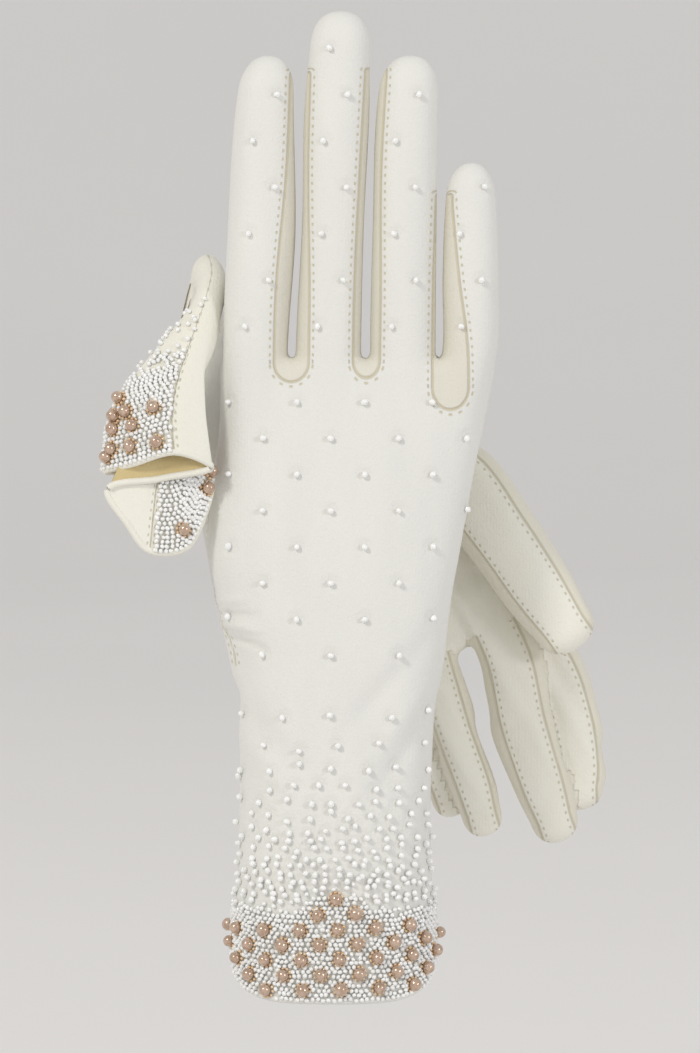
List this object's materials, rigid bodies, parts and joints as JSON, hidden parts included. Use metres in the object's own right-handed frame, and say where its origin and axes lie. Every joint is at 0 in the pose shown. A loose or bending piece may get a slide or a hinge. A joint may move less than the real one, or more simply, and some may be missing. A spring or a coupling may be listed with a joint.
{
  "type": "pair of beaded evening gloves",
  "caption": "Pair of ivory wrist-length evening gloves with beaded backs and cuffs: one standing on a raised hand, the other hung over its thumb.",
  "frame": {"origin": "middle of the right glove's cuff opening, level with the lowest point of its hem", "axes": "+Z from the cuff to the fingertips of the right glove, +Y towards its palm, +X towards its little finger"},
  "size_m": [0.1415, 0.0965, 0.2668],
  "materials": {
    "ivory_jersey": "matt doubled jersey, ivory",
    "cream_jersey": "matt doubled jersey, cream",
    "facing_cloth": "matt, golden beige wrong side",
    "seed_beads": "opaque white glass seed beads",
    "bronze_pearls": "bronze imitation pearl lustre"
  },
  "bodies": {
    "right_hand": {"right_back_panel": "ivory_jersey", "right_palm_panel": "ivory_jersey", "right_hem_facing": "facing_cloth", "right_bead_band": "seed_beads", "right_pearl_chain_1": "bronze_pearls", "right_pearl_chain_2": "bronze_pearls", "right_pearl_chain_3": "bronze_pearls", "right_thumb_root": "ivory_jersey"},
    "right_index": {"right_index_fourchette_right": "ivory_jersey", "right_index_wrap_strip": "ivory_jersey"},
    "right_middle": {"right_middle_fourchette_right": "ivory_jersey", "right_middle_fourchette_left": "ivory_jersey", "right_middle_palm_strip": "ivory_jersey", "right_middle_back_strip": "ivory_jersey"},
    "right_ring": {"right_ring_fourchette_right": "ivory_jersey", "right_ring_fourchette_left": "ivory_jersey", "right_ring_palm_strip": "ivory_jersey", "right_ring_back_strip": "ivory_jersey"},
    "right_little": {"right_little_fourchette_left": "ivory_jersey", "right_little_wrap_strip": "ivory_jersey"},
    "right_thumb": {"right_thumb_gusset": "ivory_jersey", "right_thumb_wrap_strip": "ivory_jersey"},
    "left_hand": {"left_back_panel": "cream_jersey", "left_palm_panel": "cream_jersey", "left_hem_facing": "facing_cloth", "left_bead_band": "seed_beads", "left_pearl_chain_1": "bronze_pearls", "left_pearl_chain_2": "bronze_pearls", "left_pearl_chain_3": "bronze_pearls"},
    "left_fingers": {"left_index_fourchette_left": "cream_jersey", "left_index_wrap_strip": "cream_jersey", "left_middle_fourchette_right": "cream_jersey", "left_middle_fourchette_left": "cream_jersey", "left_middle_palm_strip": "cream_jersey", "left_middle_back_strip": "cream_jersey", "left_ring_fourchette_right": "cream_jersey", "left_ring_fourchette_left": "cream_jersey", "left_ring_palm_strip": "cream_jersey", "left_ring_back_strip": "cream_jersey", "left_little_fourchette_right": "cream_jersey", "left_little_wrap_strip": "cream_jersey"},
    "left_thumb": {"left_thumb_gusset": "cream_jersey", "left_thumb_wrap_strip": "cream_jersey"}
  },
  "joints": [
    {"name": "index_knuckle", "type": "hinge", "parent": "right_hand", "child": "right_index", "pos_m": [-0.0199, 0.0126, 0.158], "axis": [1, 0, 0], "range_deg": [-45, 0]},
    {"name": "middle_knuckle", "type": "hinge", "parent": "right_hand", "child": "right_middle", "pos_m": [0.0004, 0.013, 0.158], "axis": [1, 0, 0], "range_deg": [-80, 0]},
    {"name": "ring_knuckle", "type": "hinge", "parent": "right_hand", "child": "right_ring", "pos_m": [0.0204, 0.0126, 0.158], "axis": [1, 0, 0], "range_deg": [-80, 0]},
    {"name": "little_knuckle", "type": "hinge", "parent": "right_hand", "child": "right_little", "pos_m": [0.0367, 0.012, 0.158], "axis": [1, 0, 0], "range_deg": [-80, 0]},
    {"name": "thumb_base", "type": "hinge", "parent": "right_hand", "child": "right_thumb", "pos_m": [-0.0389, 0.0136, 0.1486], "axis": [0, 1, 0], "range_deg": [-30, 0]},
    {"name": "left_glove_lift", "type": "slide", "parent": "right_hand", "child": "left_hand", "axis": [0, 0, 1], "range_m": [0, 0.2]},
    {"name": "left_knuckles", "type": "hinge", "parent": "left_hand", "child": "left_fingers", "pos_m": [0.042, 0.056, 0.091], "axis": [0.8671, 0, 0.4981], "range_deg": [0, 45]},
    {"name": "left_thumb_base", "type": "hinge", "parent": "left_hand", "child": "left_thumb", "pos_m": [0.027, 0.043, 0.147], "axis": [0.8, 0, 0.6], "range_deg": [-20, 0]}
  ]
}
